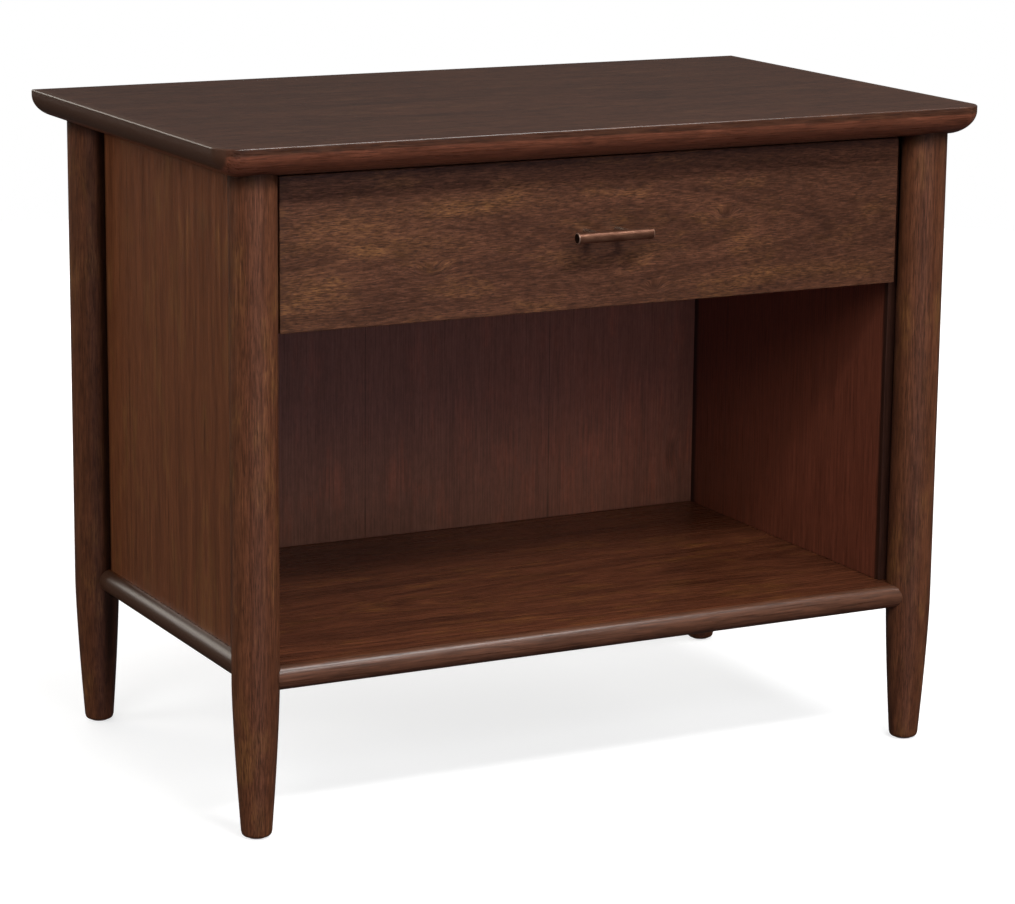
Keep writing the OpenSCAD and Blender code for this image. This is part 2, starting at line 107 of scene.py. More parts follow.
# Distance below which points of a loft are one point
SAME_POINT = 1e-6


# ---------- mesh helpers ----------

def arc(cx, cy, r, start, end, steps):
    """Points on an arc; the angles are in degrees."""
    turns = [math.radians(start + (end - start) * k / steps) for k in range(steps + 1)]
    return [(cx + r * math.cos(t), cy + r * math.sin(t)) for t in turns]


def loft(loops):
    """A closed skin through loops that all have the same number of points."""
    bm = bmesh.new()
    rows = [[bm.verts.new(p) for p in loop] for loop in loops]
    for above, below in zip(rows, rows[1:]):
        for i, vert in enumerate(above):
            j = (i + 1) % len(above)
            bm.faces.new((vert, above[j], below[j], below[i]))
    bm.faces.new(rows[0])
    bm.faces.new(rows[-1])
    bmesh.ops.remove_doubles(bm, verts=bm.verts, dist=SAME_POINT)
    bmesh.ops.recalc_face_normals(bm, faces=bm.faces)
    return bm


def prism(outline, low, high):
    """A plan outline raised from one height to another."""
    return loft([[(x, y, z) for x, y in outline] for z in (high, low)])


def turned(profile, place, steps):
    """A lathe shape: place(t, r, angle) gives the point at t along the axis."""
    angles = [math.tau * k / steps for k in range(steps)]
    return loft([[place(t, r, a) for a in angles] for t, r in profile])


def ease(bm, width, segments=3):
    """Rounds every edge that turns by more than the sharp angle."""
    edges = [e for e in bm.edges if len(e.link_faces) == 2 and e.calc_face_angle(0) > SHARP_ANGLE]
    bmesh.ops.bevel(
        bm, geom=edges, offset=width, segments=segments, profile=0.5, affect="EDGES", clamp_overlap=True
    )
    return bm


def mirrored(bm):
    """The same shape on the left side."""
    bmesh.ops.scale(bm, vec=(-1, 1, 1), verts=bm.verts)
    bmesh.ops.reverse_faces(bm, faces=bm.faces)
    return bm


def new_object(name, bm):
    """An object in the scene that takes over a shape."""
    mesh = bpy.data.meshes.new(name)
    bm.to_mesh(mesh)
    bm.free()
    obj = bpy.data.objects.new(name, mesh)
    bpy.context.scene.collection.objects.link(obj)
    return obj


def recessed(bm, places, outward):
    """Sinks a round recess for each screw head into a flat face that looks outward."""
    turn = Vector((0, 0, 1)).rotation_difference(outward).to_matrix().to_4x4()
    cutters = bmesh.new()
    for place in places:
        bmesh.ops.create_cone(
            cutters, cap_ends=True, segments=RECESS_AROUND, radius1=RECESS_R, radius2=RECESS_R,
            depth=2 * RECESS_DEEP, matrix=Matrix.Translation(place) @ turn,
        )
    body, tool = new_object("recessed", bm), new_object("recesses", cutters)
    cut = body.modifiers.new("recesses", "BOOLEAN")
    cut.operation = "DIFFERENCE"
    cut.solver = "EXACT"
    cut.object = tool
    shape = bmesh.new()
    shape.from_object(body, bpy.context.evaluated_depsgraph_get())
    for obj in (body, tool):
        mesh = obj.data
        bpy.data.objects.remove(obj)
        bpy.data.meshes.remove(mesh)
    return shape


def piece(name, bm, body, slot, material, *nodes):
    """A finished piece: smooth shading with kept arrises, on its body, for its CAD nodes."""
    for face in bm.faces:
        face.smooth = True
    for edge in bm.edges:
        edge.smooth = len(edge.link_faces) == 2 and edge.calc_face_angle(0) < SHARP_ANGLE
    obj = new_object(name, bm)
    obj.data.materials.append(material)
    weighted = obj.modifiers.new("flat faces stay flat", "WEIGHTED_NORMAL")
    weighted.keep_sharp = True
    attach(obj, body)
    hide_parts(*nodes)
    return obj


# ---------- material helpers ----------

# In all materials, lengths are in millimetres, and the size of a noise is along the grain, across it
# and into the board. Most of a noise's values lie between LOW and HIGH.
LOW, HIGH = 0.3, 0.7

# Growth rings
BEND_SIZE = (170, 60, 80)
BEND_BELOW = 0.6
# Bands in the rings: width in rings, run along the grain, seed
BROAD = (4.5, 500.0, 3.1)
LATEWOOD = (1.0, 260.0, 7.7)
HAIRLINES = (0.42, 90.0, 1.9)
BROAD_EDGE = (0.40, 0.66)
LATE_EDGE = (0.50, 0.68)
LATE_DEPTH = 0.40
HAIR_DEPTH = 0.18

# Fibres: run along the grain and width
STREAKS = (16.0, 1.0)
FLECKS = (7.0, 0.8)
FINE = (5.0, 0.40)
FIBRE_WOBBLE = 0.15
STREAK_DEPTH = 0.34
FINE_DEPTH = 0.12
PORE_EDGE = (0.57, 0.66)
PORE_DEPTH = 0.46
MOTTLE_SIZE = (11, 4.5, 6)

# Golden patches
CLOUD_SIZE = (60, 24, 45)
CLOUD_EDGE = (0.50, 0.68)
GOLD_EDGE = (0.36, 0.58)
GOLD_LEAST = 0.3

# Knots, the seam between two leaves of veneer, and painted shade at the joints and under the top
KNOT_PUSH = 7.0
KNOT_EDGE = (0.45, 0.95)
KNOT_DEPTH = 0.30
SEAM_EDGE = (0.3, 0.9)
SEAM_LEAST = 0.62
SHADE_X = panel_high.x / MM
SHADE_Y = (LEG_Y - LEG_R) / MM
SHADE_EDGE = (2.5, 9.0)
SHADE_LEAST = 0.22
SHADE_TOP_Z = TOP_UNDER / MM
SHADE_DROP = 16.0
SHADE_TOP_LEAST = 0.30

# Lacquer: the roughness varies round the polish, and the fibres and pores show a little in relief
POLISH_BELOW, POLISH_ABOVE = 0.03, 0.04
PORE_ROUGH = 0.12
CALM_ROUGH = 0.14
FIBRE_RELIEF = 0.4
RELIEF = 0.035 * MM
LACQUER = {"IOR": 1.5, "Specular_IOR_Level": 0.42, "Coat_Weight": 0.12, "Coat_Roughness": 0.16}

# Tones of the end grain and of the shelf's edging
END_GRAIN = (60, 39, 28)
EDGING = (78, 50, 36)


def srgb(red, green, blue):
    """A linear colour from 8-bit sRGB values."""
    parts = [c / 255 for c in (red, green, blue)]
    return tuple(c / 12.92 if c < 0.04045 else ((c + 0.055) / 1.055) ** 2.4 for c in parts) + (1.0,)


class Graph:
    """A material's node tree, one call for each node."""

    def __init__(self, name):
        self.material = bpy.data.materials.new(name)
        self.material.use_nodes = True
        self.tree = self.material.node_tree
        self.tree.nodes.clear()

    def node(self, kind, inputs, **settings):
        made = self.tree.nodes.new("ShaderNode" + kind)
        for key, value in settings.items():
            setattr(made, key, value)
        for key, value in inputs.items():
            if isinstance(value, bpy.types.NodeSocket):
                self.tree.links.new(value, made.inputs[key])
            else:
                made.inputs[key].default_value = value
        return made

    def math(self, operation, a, b=0.0):
        return self.node("Math", {0: a, 1: b}, operation=operation).outputs[0]

    def plus(self, a, b):
        return self.math("ADD", a, b)

    def minus(self, a, b):
        return self.math("SUBTRACT", a, b)

    def times(self, a, b):
        return self.math("MULTIPLY", a, b)

    def squares(self, a, b):
        return self.plus(self.math("POWER", a, 2.0), self.math("POWER", b, 2.0))

    def join(self, x, y, z):
        return self.node("CombineXYZ", {0: x, 1: y, 2: z}).outputs[0]

    def noise(self, vector, size=None, detail=2.0, roughness=0.5, distortion=0.0):
        if size:
            factors = tuple(1 / length for length in size)
            vector = self.node("VectorMath", {0: vector, 1: factors}, operation="MULTIPLY").outputs[0]
        inputs = {"Vector": vector, "Scale": 1.0, "Detail": detail, "Roughness": roughness}
        return self.node("TexNoise", {**inputs, "Distortion": distortion}).outputs[0]

    def span(self, value, low, high, to_low=0.0, to_high=1.0):
        """The value between low and high, taken smoothly to a new range and clamped."""
        inputs = {"Value": value, "From Min": low, "From Max": high, "To Min": to_low, "To Max": to_high}
        return self.node("MapRange", inputs, interpolation_type="SMOOTHSTEP").outputs[0]

    def sway(self, noise, depth):
        """A factor that swings round 1 by depth, up and down with the noise."""
        return self.span(noise, LOW, HIGH, 1 - depth, 1 + depth)

    def mix(self, factor, a, b, blend="MIX"):
        made = self.node("Mix", {}, data_type="RGBA", blend_type=blend)
        for socket, value in ((made.inputs[0], factor), (made.inputs[6], a), (made.inputs[7], b)):
            if isinstance(value, bpy.types.NodeSocket):
                self.tree.links.new(value, socket)
            else:
                socket.default_value = value
        return made.outputs[2]

    def shaded(self, colour, shade):
        """The colour times a grey shade."""
        return self.mix(1.0, colour, self.join(shade, shade, shade), blend="MULTIPLY")

    def bump(self, height, distance):
        inputs = {"Height": height, "Distance": distance, "Strength": 1.0}
        return self.node("Bump", inputs).outputs[0]

    def finish(self, **inputs):
        shader = self.node("BsdfPrincipled", {k.replace("_", " "): v for k, v in inputs.items()})
        self.node("OutputMaterial", {0: shader.outputs[0]})
        return self.material


def grain_axes(graph, axes):
    """Coordinates in millimetres: along the grain, across it, and into the board."""
    place = graph.node("TexCoord", {}).outputs["Object"]
    parts = graph.node("SeparateXYZ", {0: place}).outputs
    return [graph.times(parts["XYZ".index(a)], 1 / MM) for a in axes]


def painted_joint_shade(g, place):
    """Painted shade where the side panels meet the legs, and under the top; 1 is unshaded."""
    x, y, z = (g.math("ABSOLUTE", part) for part in place)
    away = g.math("SQRT", g.squares(g.minus(x, SHADE_X), g.minus(y, SHADE_Y)))
    beside = g.span(away, *SHADE_EDGE, SHADE_LEAST, 1.0)
    return g.times(beside, g.span(z, SHADE_TOP_Z - SHADE_DROP, SHADE_TOP_Z, 1.0, SHADE_TOP_LEAST))


def hill(g, along, across, place):
    """A soft hill, 1 high, at a place given as (along, across, half length, half width)."""
    far = g.math("DIVIDE", g.minus(along, place[0]), place[2])
    off = g.math("DIVIDE", g.minus(across, place[1]), place[3])
    return g.math("EXPONENT", g.times(g.squares(far, off), -1.0))


def round_knots(g, along, across, knots):
    """The position across the grain, with the fibres pushed aside by knots, and the knots' darkness."""
    dark = pushed = 0.0
    for knot in knots:
        bulge = hill(g, along, across, knot)
        pushed = g.plus(pushed, g.times(bulge, KNOT_PUSH))
        dark = g.plus(dark, g.span(bulge, *KNOT_EDGE, 0.0, KNOT_DEPTH))
    return (g.plus(across, pushed) if knots else across), dark


def ring_distance(g, along, across, deep, heart, tilt, warp):
    """Distance from the heart line of the tree, bent by slow noise."""
    bend = g.noise(g.join(along, across, deep), BEND_SIZE, detail=3.0)
    bend = g.times(g.minus(bend, 0.5), 2 * warp)
    side = g.plus(g.minus(across, heart[0]), bend)
    below = g.plus(g.times(along, tilt), heart[1])
    below = g.plus(g.plus(below, deep), g.times(bend, BEND_BELOW))
    return g.math("SQRT", g.squares(side, below))


def walnut(
    name, axes, ground, late, gold, heart, tilt, warp, ring, figure, patches,
    polish=0.34, weave=1.0, stride=1.0, grain=1.0, curl=0.10,
    knots=(), golden_and_lit_spots=(), stains=(), leaf=None, painted_shade=False,
):
    """Stained and lacquered walnut.

    axes: along the grain, across it, into the board. ground, late, gold: tones of the wood, of its
    latewood, and of patches where the stain took golden. heart, tilt, warp: the growth rings are round a
    heart line at (across, below) that tilts along the grain and is bent by warp, so that flat-sawn arches
    or straight ribbons come out. ring: width of a growth ring. figure, patches, grain, curl: strength of
    the rings, of the golden patches, of the fibres and of the mottling. stride, weave: length and width
    of the fibres. knots and golden_and_lit_spots: dark knots, and golden spots, as places for hill(); on
    the back panel such a spot is a painted pool of light. stains: zones (axis, start, full, tone, smooth)
    in another tone and with less grain, such as an edging. leaf: offset and width of the leaves of
    book-matched veneer. painted_shade: painted shade at the joints and under the top."""
    g = Graph(name)
    along, flat, deep = grain_axes(g, axes)
    by_axis = dict(zip(axes, (along, flat, deep)))
    across, knot_dark = round_knots(g, along, flat, knots)
    if leaf:
        across = g.math("PINGPONG", g.plus(across, leaf[0]), leaf[1])
    spot = g.join(along, across, deep)
    rings = ring_distance(g, along, across, deep, heart, tilt, warp)

    def bands(width, run, seed):
        ring_place = g.join(g.math("DIVIDE", rings, width * ring), g.math("DIVIDE", along, run), seed)
        return g.noise(ring_place, detail=1.0)

    def fibres(run, width):
        size = (run * stride, width * weave, width * weave)
        return g.noise(spot, size, detail=1.0, distortion=FIBRE_WOBBLE)

    streaks, flecks, fine = (fibres(*size) for size in (STREAKS, FLECKS, FINE))
    pores = g.span(flecks, *PORE_EDGE)

    # Golden patches, broken up by the fibres
    cloud = g.span(g.noise(spot, CLOUD_SIZE, detail=4.0, roughness=0.65), *CLOUD_EDGE)
    for place in golden_and_lit_spots:
        cloud = g.plus(cloud, hill(g, along, flat, place))
    golden = g.times(cloud, g.span(flecks, *GOLD_EDGE, patches, GOLD_LEAST * patches))
    colour = g.mix(g.math("MINIMUM", golden, 1.0), srgb(*ground), srgb(*gold))

    # Bands of latewood
    depth = LATE_DEPTH * figure
    colour = g.mix(g.span(bands(*BROAD), *BROAD_EDGE, 0.0, depth), colour, srgb(*late))
    colour = g.mix(g.times(g.span(bands(*LATEWOOD), *LATE_EDGE), depth), colour, srgb(*late))

    # Zones in another tone; calm is 1 where the grain shows in full
    calm = 1.0
    for axis, start, full, tone, smooth in stains:
        zone = g.span(g.math("ABSOLUTE", by_axis[axis]), start, full)
        colour = g.mix(zone, colour, srgb(*tone))
        calm = g.times(calm, g.minus(1.0, g.times(zone, smooth)))

    # Light and dark of the fibres, rings, mottling and pores
    mottle = g.noise(spot, MOTTLE_SIZE, detail=5.0, roughness=0.75, distortion=0.3)
    shade = g.times(g.sway(streaks, STREAK_DEPTH * grain), g.sway(fine, FINE_DEPTH))
    shade = g.times(shade, g.sway(bands(*HAIRLINES), HAIR_DEPTH * figure))
    shade = g.times(shade, g.sway(mottle, curl))
    shade = g.times(shade, g.minus(1.0, g.times(pores, PORE_DEPTH * grain)))
    shade = g.plus(1.0, g.times(g.minus(shade, 1.0), calm))
    shade = g.times(shade, g.minus(1.0, knot_dark))
    if leaf:
        seam = g.math("MINIMUM", across, g.minus(leaf[1], across))
        shade = g.times(shade, g.span(seam, *SEAM_EDGE, SEAM_LEAST, 1.0))
    # Painted shade where the side panels meet the legs and under the top
    if painted_shade:
        shade = g.times(shade, painted_joint_shade(g, [by_axis[axis] for axis in "XYZ"]))

    rough = g.span(streaks, LOW, HIGH, polish - POLISH_BELOW, polish + POLISH_ABOVE)
    rough = g.plus(g.plus(rough, g.times(pores, PORE_ROUGH)), g.times(g.minus(1.0, calm), CALM_ROUGH))
    height = g.times(g.minus(g.times(g.plus(streaks, fine), FIBRE_RELIEF), pores), calm)
    return g.finish(
        Base_Color=g.shaded(colour, shade), Roughness=rough, Normal=g.bump(height, RELIEF), **LACQUER
    )


def plain_wood(name, axes, tones, polish):
    """Light hardwood of the inner parts: low contrast, fine fibre and short pores."""
    dark, light = (srgb(*tone) for tone in tones)
    g = Graph(name)
    spot = g.join(*grain_axes(g, axes))
    bands = g.noise(spot, (260, 7, 16), detail=3.0, distortion=0.4)
    fibre = g.noise(spot, (14, 0.6, 0.9))
    pores = g.span(g.noise(spot, (4, 0.5, 0.8), detail=1.0), 0.62, 0.75)
    colour = g.shaded(g.mix(g.span(bands, 0.35, 0.66), dark, light), g.span(fibre, LOW, HIGH, 0.88, 1.06))
    colour = g.mix(g.times(pores, 0.35), colour, dark)
    relief = g.bump(g.minus(fibre, pores), 0.04 * MM)
    return g.finish(Base_Color=colour, Roughness=polish, Specular_IOR_Level=0.4, Normal=relief)


def bar_ends(g, place, colour, dark, rim_glint):
    """The colour with, on the ends of the handle bar, a dark face inside a rim with a painted highlight."""
    x, y, z = place
    axis = (0.0, BAR_Y / MM, BAR_Z / MM)
    out = g.node("VectorMath", {0: g.join(0.0, y, z), 1: axis}, operation="DISTANCE").outputs["Value"]
    end, radius, rim = BAR_END / MM, BAR_R / MM, EASE_BAR / MM
    at_end = g.span(g.math("ABSOLUTE", x), end - rim, end - 0.8 * rim)
    face = g.span(out, radius - 1.1 * rim, radius - 0.8 * rim, 1.0, 0.0)
    return g.mix(g.times(at_end, face), g.mix(at_end, colour, srgb(*rim_glint)), srgb(*dark))


def metal(name, tone, worn, rough, axes="XYZ", streak=(40.0, 0.25, 0.25), metallic=1.0, ends=()):
    """Brushed or plated metal, with a drawn-out finish and a few worn spots. ends: the dark tone of a bar's
    end faces and the tone of the painted highlight on their rims."""
    g = Graph(name)
    place = grain_axes(g, axes)
    spot = g.join(*place)
    brushed = g.noise(spot, streak)
    cloud = g.noise(spot, (18, 9, 9), detail=3.0)
    colour = g.mix(g.span(cloud, 0.40, 0.72), srgb(*tone), srgb(*worn))
    colour = g.shaded(colour, g.span(brushed, LOW, HIGH, 0.86, 1.10))
    if ends:
        colour = bar_ends(g, place, colour, *ends)
    roughness = g.span(brushed, LOW, HIGH, rough - 0.06, rough + 0.08)
    relief = g.bump(brushed, 0.01 * MM)
    return g.finish(Base_Color=colour, Metallic=metallic, Roughness=roughness, Normal=relief)


def moulded(name, tone, rough):
    """Moulded nylon or rubber: fine matt texture and slight clouding."""
    g = Graph(name)
    spot = g.join(*grain_axes(g, "XYZ"))
    fine = g.noise(spot, (0.4, 0.4, 0.4))
    cloud = g.noise(spot, (12, 12, 12))
    colour = g.shaded(srgb(*tone), g.span(cloud, LOW, HIGH, 0.90, 1.06))
    roughness = g.span(fine, LOW, HIGH, rough - 0.05, rough + 0.05)
    return g.finish(Base_Color=colour, Roughness=roughness, Normal=g.bump(fine, 0.02 * MM))


# ---------- materials ----------

PANEL_END = -panel_low.y / MM

top_wood = walnut(
    "top_walnut", "XYZ", ground=(62, 37, 25), late=(44, 25, 17), gold=(76, 50, 33),
    heart=(-40.0, -700.0), tilt=0.03, warp=9.0, ring=4.0, figure=0.6, patches=0.5,
    polish=0.30, weave=1.5, stride=2.0, grain=0.6, curl=0.12,
    stains=(("Z", 604.5, 602.5, (92, 53, 37), 0.0), ("X", 372.0, 375.0, END_GRAIN, 1.0)),
)
leg_wood = walnut(
    "leg_walnut", "ZXY", ground=(84, 50, 32), late=(54, 28, 18), gold=(104, 70, 38),
    heart=(-500.0, 90.0), tilt=0.02, warp=5.0, ring=3.0, figure=0.7, patches=0.7,
    stride=1.4, grain=0.85, painted_shade=True,
)
panel_wood = walnut(
    "panel_walnut", "ZYX", ground=(98, 56, 33), late=(56, 29, 18), gold=(120, 84, 44),
    heart=(-900.0, 40.0), tilt=0.004, warp=1.5, ring=2.6, figure=0.5, patches=0.4,
    weave=1.5, stride=6.0, grain=0.55, leaf=(70.0, 182.0), painted_shade=True,
    stains=(
        ("X", 325.0, 322.0, (102, 54, 38), 0.0),
        # Painted shade: both ends of each side panel are painted dark where they sit in the narrow gaps
        # against the legs
        ("Y", PANEL_END - 9.0, PANEL_END - 4.0, (44, 25, 18), 0.0),
    ),
)
back_wood = walnut(
    "back_walnut", "ZXY", ground=(106, 71, 57), late=(76, 49, 39), gold=(138, 80, 60),
    heart=(900.0, 40.0), tilt=0.004, warp=5.0, ring=3.0, figure=0.28, patches=0.5,
    weave=1.5, stride=6.0, grain=0.22, curl=0.12, leaf=(60.0, 205.0),
    # The spot low on the right of the back panel is a painted pool of light: lighter and golden where light
    # reaches in
    knots=((207.0, 288.0, 26.0, 9.0),), golden_and_lit_spots=((205.0, 215.0, 110.0, 130.0),),
)
shelf_wood = walnut(
    "shelf_walnut", "XYZ", ground=(86, 47, 29), late=(52, 26, 15), gold=(106, 66, 32),
    heart=(-60.0, -230.0), tilt=0.05, warp=12.0, ring=4.0, figure=1.0, patches=0.7,
    polish=0.28, weave=1.5, stride=3.0, grain=0.75,
    stains=(("Y", 195.0, 198.0, EDGING, 0.15), ("X", 333.0, 336.0, END_GRAIN, 1.0)),
)
drawer_wood = walnut(
    "drawer_walnut", "XZY", ground=(75, 46, 31), late=(48, 27, 18), gold=(108, 72, 40),
    heart=(508.0, 225.0), tilt=0.07, warp=12.0, ring=3.4, figure=0.8, patches=0.52,
    stride=0.7, grain=0.9, curl=0.24,
    knots=((-169.0, 489.0, 16.0, 8.0), (127.0, 520.0, 10.0, 5.0), (55.0, 459.0, 9.0, 5.0)),
    golden_and_lit_spots=(
        (-292.0, 474.0, 38.0, 26.0),
        (-255.0, 533.0, 46.0, 14.0),
        (-130.0, 543.0, 70.0, 10.0),
        (-205.0, 512.0, 60.0, 9.0),
        (200.0, 462.0, 90.0, 8.0),
    ),
)
BOX_TONES = ((176, 138, 96), (200, 166, 124))
FRAME_TONES = ((164, 126, 86), (196, 160, 116))
box_wood = plain_wood("drawer_box_side_wood", "YZX", BOX_TONES, 0.45)
box_end_wood = plain_wood("drawer_box_end_wood", "XZY", BOX_TONES, 0.45)
box_bottom_wood = plain_wood("drawer_bottom_wood", "XYZ", BOX_TONES, 0.5)
frame_wood = plain_wood("frame_wood", "XYZ", FRAME_TONES, 0.6)
cleat_wood = plain_wood("cleat_wood", "YXZ", FRAME_TONES, 0.6)
slide_steel = metal("zinc_steel", (172, 175, 178), (192, 195, 198), 0.40, "YXZ", metallic=0.5)
cage_steel = metal("cage_steel", (140, 140, 138), (162, 162, 158), 0.42, "YXZ", metallic=0.5)
screw_steel = metal("screw_zinc", (152, 152, 154), (174, 172, 166), 0.40, metallic=0.5)
handle_bronze = metal(
    "handle_bronze", (98, 64, 48), (126, 88, 68), 0.33, "XYZ", (16.0, 0.3, 0.3), metallic=0.72,
    # The ends: a dark face, and a painted highlight all round the rim
    ends=((14, 9, 8), (168, 140, 122)),
)
post_metal = metal("post_bronze", (150, 132, 116), (186, 170, 152), 0.26, "YXZ", (8.0, 0.3, 0.3))
glide_nylon = moulded("glide_nylon", (206, 203, 194), 0.5)
bumper_rubber = moulded("bumper_rubber", (40, 38, 36), 0.7)


# ---------- top ----------

CORNER_STEPS = 14
UNDER_STEPS = 28
EASE_STEPS = 4


def top_outline(inset, rear):
    """Plan of the top, drawn in by inset at the front and sides, and by rear at the back."""
    r = max(CORNER_R - inset, MITRE_R)
    x, y = HALF_W - inset - r, -HALF_D + inset + r
    left = [(-HALF_W + inset, HALF_D - rear)] + arc(-x, y, r, 180, 270, CORNER_STEPS)
    return left + arc(x, y, r, 270, 360, CORNER_STEPS) + [(HALF_W - inset, HALF_D - rear)]


def top_levels():
    """Inset, height and rear inset of each level, from the top face round to the underside."""
    for k in range(EASE_STEPS + 1):
        turn = math.radians(90 * k / EASE_STEPS)
        inset = EASE_TOP * (1 - math.sin(turn))
        yield inset, HEIGHT - EASE_TOP * (1 - math.cos(turn)), inset
    for k in range(UNDER_STEPS + 1):
        turn = math.radians(90 * k / UNDER_STEPS)
        drop = (HEIGHT - LIP - TOP_UNDER) * math.sin(turn)
        yield UNDER_IN * (1 - math.cos(turn)), HEIGHT - LIP - drop, 0.0


def underside(x, y):
    """Height of the top's underside above a point of the plan."""
    inset = min(HALF_W - abs(x), y + HALF_D, UNDER_IN)
    return HEIGHT - LIP - (HEIGHT - LIP - TOP_UNDER) * math.sqrt(1 - (1 - inset / UNDER_IN) ** 2)


top_loops = [[(x, y, z) for x, y in top_outline(inset, rear)] for inset, z, rear in top_levels()]
piece("walnut_top", loft(top_loops), "case", "top_wood", top_wood, "top")


# ---------- legs ----------

TAPER_STEPS = 24
FOOT_STEPS = 6


def leg_radius(z):
    return LEG_R - (LEG_R - FOOT_R) * (1 - z / TAPER_H) ** TAPER_POWER


def leg_profile():
    """Height and radius of each ring; the last one is the ring that is scribed to the top."""
    for k in range(FOOT_STEPS + 1):
        turn = math.radians(90 * k / FOOT_STEPS)
        z = LEG_FOOT + FOOT_ROUND * (1 - math.cos(turn))
        yield z, leg_radius(LEG_FOOT) - FOOT_ROUND * (1 - math.sin(turn))
    for k in range(1, TAPER_STEPS + 1):
        z = TAPER_H * k / TAPER_STEPS
        yield z, leg_radius(z)
    yield None, LEG_R


for side_name, sx in (("left", -1), ("right", 1)):
    for end_name, sy in (("front", -1), ("back", 1)):

        def on_leg(z, r, angle, cx=sx * LEG_X, cy=sy * LEG_Y):
            x, y = cx + r * math.cos(angle), cy + r * math.sin(angle)
            return x, y, underside(x, y) - CLEAR if z is None else z

        node = f"leg_{end_name}_{side_name}"
        shape = turned(list(leg_profile()), on_leg, LEG_AROUND)
        piece(f"turned_{node}", shape, "case", "leg_wood", leg_wood, node)


# ---------- side and back panels ----------

COPE_STEPS = 8


def cope_angle(r, dx=None, dy=None):
    """Angle, in degrees, of the point of a leg's cope that lies at dx or dy from its centre."""
    return math.degrees(math.acos(dx / r) if dy is None else math.pi - math.asin(dy / r))


def side_panel_outline():
    """Plan of the right side panel, coped to both legs, with a shadow step at its outer arrises."""
    step_x, out_x = panel_high.x - REVEAL - LEG_X, panel_high.x - LEG_X
    wide = LEG_R + REVEAL
    reveal = (cope_angle(wide, dx=step_x), cope_angle(wide, dx=out_x))
    front = cope_angle(COPE, dy=panel_low.y + LEG_Y)
    back = cope_angle(COPE, dy=LEG_Y - panel_high.y)
    inner = cope_angle(COPE, dx=step_x)
    return (
        [(panel_low.x, panel_low.y)]
        + arc(LEG_X, -LEG_Y, COPE, front, inner, COPE_STEPS)
        + arc(LEG_X, -LEG_Y, wide, *reveal, COPE_STEPS)
        + arc(LEG_X, LEG_Y, wide, -reveal[1], -reveal[0], COPE_STEPS)
        + arc(LEG_X, LEG_Y, COPE, -inner, -back, COPE_STEPS)
        + [(panel_low.x, panel_high.y)]
    )


def back_panel_outline():
    """Plan of the back panel, coped to the back legs at both ends."""
    inner = -cope_angle(COPE, dy=LEG_Y - back_low.y)
    outer = -cope_angle(COPE, dy=LEG_Y - back_high.y)
    right = arc(LEG_X, LEG_Y, COPE, inner, outer, COPE_STEPS)
    return right + [(-x, y) for x, y in reversed(right)]


for side_name, turn in (("right", lambda bm: bm), ("left", mirrored)):
    node = f"side_panel_{side_name}"
    shape = prism(side_panel_outline(), panel_low.z + CLEAR, panel_high.z - CLEAR)
    piece(f"walnut_{node}", turn(ease(shape, EASE_PANEL)), "case", "panel_wood", panel_wood, node)

screws_low, screws_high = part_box("back_screws")
screw_z = (screws_low.z + screws_high.z) / 2
screw_xs = (screws_low.x + SCREW_HEAD_R, 0.0, screws_high.x - SCREW_HEAD_R)
shape = ease(prism(back_panel_outline(), back_low.z + CLEAR, back_high.z - CLEAR), EASE_PANEL)
shape = recessed(shape, [(x, back_high.y, screw_z) for x in screw_xs], Vector((0, 1, 0)))
piece("walnut_back_panel", shape, "case", "back_wood", back_wood, "back_panel")


# ---------- shelf ----------

NOTCH_STEPS = 20
ROUND_STEPS = 24
NICK_TURN = 25.0


def shelf_outline(inset, nick):
    """Plan of the shelf, drawn in by inset at the front and sides, and notched round the legs."""
    r = COPE + nick
    x, front, rear = shelf_high.x - inset, shelf_low.y + inset, shelf_high.y
    side = math.degrees(math.acos((LEG_X - x) / r))
    back = math.degrees(math.asin((rear - LEG_Y) / r))
    fore = math.degrees(math.asin((front + LEG_Y) / r))
    left = arc(-LEG_X, LEG_Y, r, back, -side, NOTCH_STEPS) + arc(-LEG_X, -LEG_Y, r, side, fore, NOTCH_STEPS)
    return left + [(-px, py) for px, py in reversed(left)]


def shelf_loops():
    r = (shelf_high.z - shelf_low.z) / 2
    for k in range(ROUND_STEPS + 1):
        turn = 180 * k / ROUND_STEPS
        inset = r * (1 - math.sin(math.radians(turn)))
        z = shelf_high.z - r * (1 - math.cos(math.radians(turn)))
        nick = EASE_NOTCH * max(0.0, 1 - turn / NICK_TURN)
        yield [(x, y, z) for x, y in shelf_outline(inset, nick)]


def shelf_screw_places():
    """Centres of the screw heads under the shelf: three to each side panel and three to the back."""
    low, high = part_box("shelf_screws")
    x, front, rear = high.x - SCREW_HEAD_R, low.y + SCREW_HEAD_R, high.y - SCREW_HEAD_R
    sides = [(sx * x, y, shelf_low.z) for sx in (-1, 1) for y in (front, 0.0, -front)]
    return sides + [(k * SHELF_SCREW_PITCH, rear, shelf_low.z) for k in (-1, 0, 1)]


shape = recessed(loft(list(shelf_loops())), shelf_screw_places(), Vector((0, 0, -1)))
piece("walnut_shelf", shape, "case", "shelf_wood", shelf_wood, "shelf")


# ---------- drawer front and handle ----------

corners = [(front_low.x, front_low.y), (front_high.x, front_low.y)]
corners += [(front_high.x, front_high.y), (front_low.x, front_high.y)]
shape = ease(prism(corners, front_low.z, front_high.z), EASE_FRONT)
piece("walnut_drawer_front", shape, "drawer", "drawer_wood", drawer_wood, "drawer_front")

BAR_STEPS = 5


